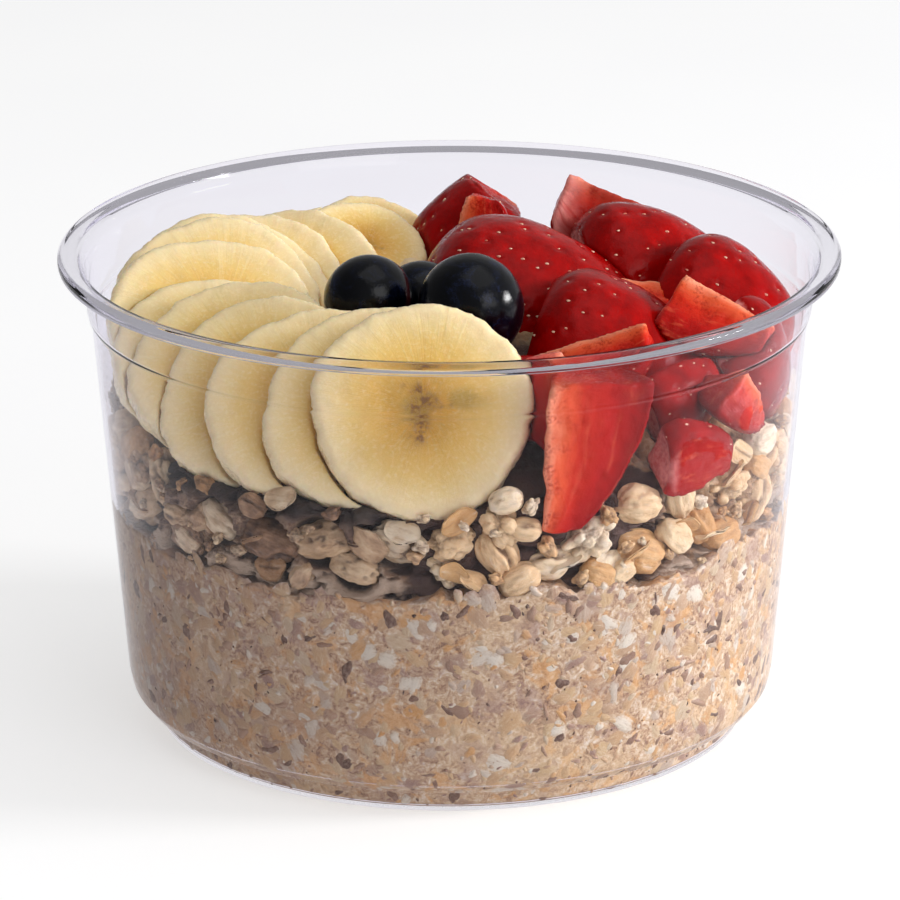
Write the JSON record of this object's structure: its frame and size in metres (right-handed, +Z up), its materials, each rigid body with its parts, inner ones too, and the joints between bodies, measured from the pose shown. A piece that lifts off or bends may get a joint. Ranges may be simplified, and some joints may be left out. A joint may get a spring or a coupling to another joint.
{
  "type": "bowl of oatmeal",
  "caption": "Clear plastic bowl of oatmeal and granola, topped with a fan of banana slices, cut strawberries and blueberries",
  "frame": {"origin": "middle of the foot, on the table", "axes": "+Z up; the front, where the first banana slice stands, faces -Y; the strawberries lie towards +X and the banana slices towards -X"},
  "size_m": [0.117, 0.117, 0.0762],
  "materials": {
    "plastic": "thin clear moulded plastic, glossy",
    "oats": "soaked oats with dark flecks, moist",
    "granola": "dry puffed and toasted grain, rough",
    "banana": "moist cut flesh, half matt",
    "blueberry": "dark skin with patches of bloom",
    "strawberry": "wet glossy skin and cut flesh"
  },
  "bodies": {
    "root": {"bowl": "plastic", "oatmeal": "oats", "granola": "granola", "banana_1": "banana", "banana_2": "banana", "banana_3": "banana", "banana_4": "banana", "banana_5": "banana", "banana_6": "banana", "banana_7": "banana", "banana_8": "banana", "banana_9": "banana", "banana_10": "banana", "banana_11": "banana", "banana_12": "banana", "banana_13": "banana", "banana_14": "banana", "blueberry_1": "blueberry", "blueberry_2": "blueberry", "blueberry_3": "blueberry", "strawberry_1": "strawberry", "strawberry_2": "strawberry", "strawberry_3": "strawberry", "strawberry_4": "strawberry", "strawberry_5": "strawberry", "strawberry_6": "strawberry", "strawberry_7": "strawberry", "strawberry_8": "strawberry", "strawberry_9": "strawberry", "strawberry_10": "strawberry", "strawberry_11": "strawberry", "strawberry_12": "strawberry", "strawberry_13": "strawberry", "strawberry_14": "strawberry", "strawberry_15": "strawberry", "strawberry_16": "strawberry", "strawberry_17": "strawberry", "strawberry_18": "strawberry", "strawberry_19": "strawberry", "strawberry_20": "strawberry", "strawberry_21": "strawberry", "strawberry_22": "strawberry"}
  },
  "joints": []
}
